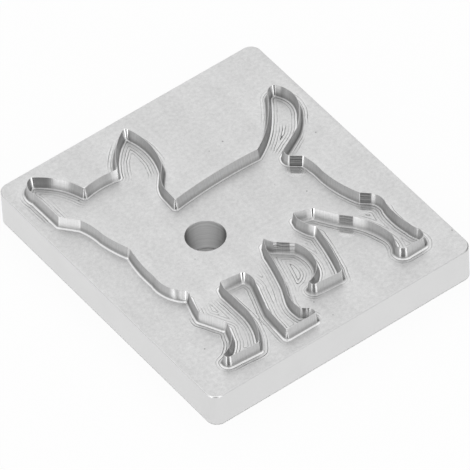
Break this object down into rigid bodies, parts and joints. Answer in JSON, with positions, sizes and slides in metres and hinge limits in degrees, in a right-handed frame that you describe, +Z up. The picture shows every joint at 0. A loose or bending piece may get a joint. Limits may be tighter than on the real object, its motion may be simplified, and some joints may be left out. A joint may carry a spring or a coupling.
{
  "type": "leather cutting die",
  "caption": "Flat steel plate with a raised sharp blade in the outline of a standing dog, used to press that shape out of leather, and a round bore through the plate.",
  "frame": {"origin": "centre of the plate's flat underside", "axes": "+Z up out of the plate towards the blade's edge, +Y along the plate's longer side towards the animal's ears, +X along its shorter side towards the tail"},
  "size_m": [0.08, 0.09, 0.0132],
  "materials": {
    "steel": "milled"
  },
  "bodies": {
    "root": {"die_plate": "steel"}
  },
  "joints": []
}
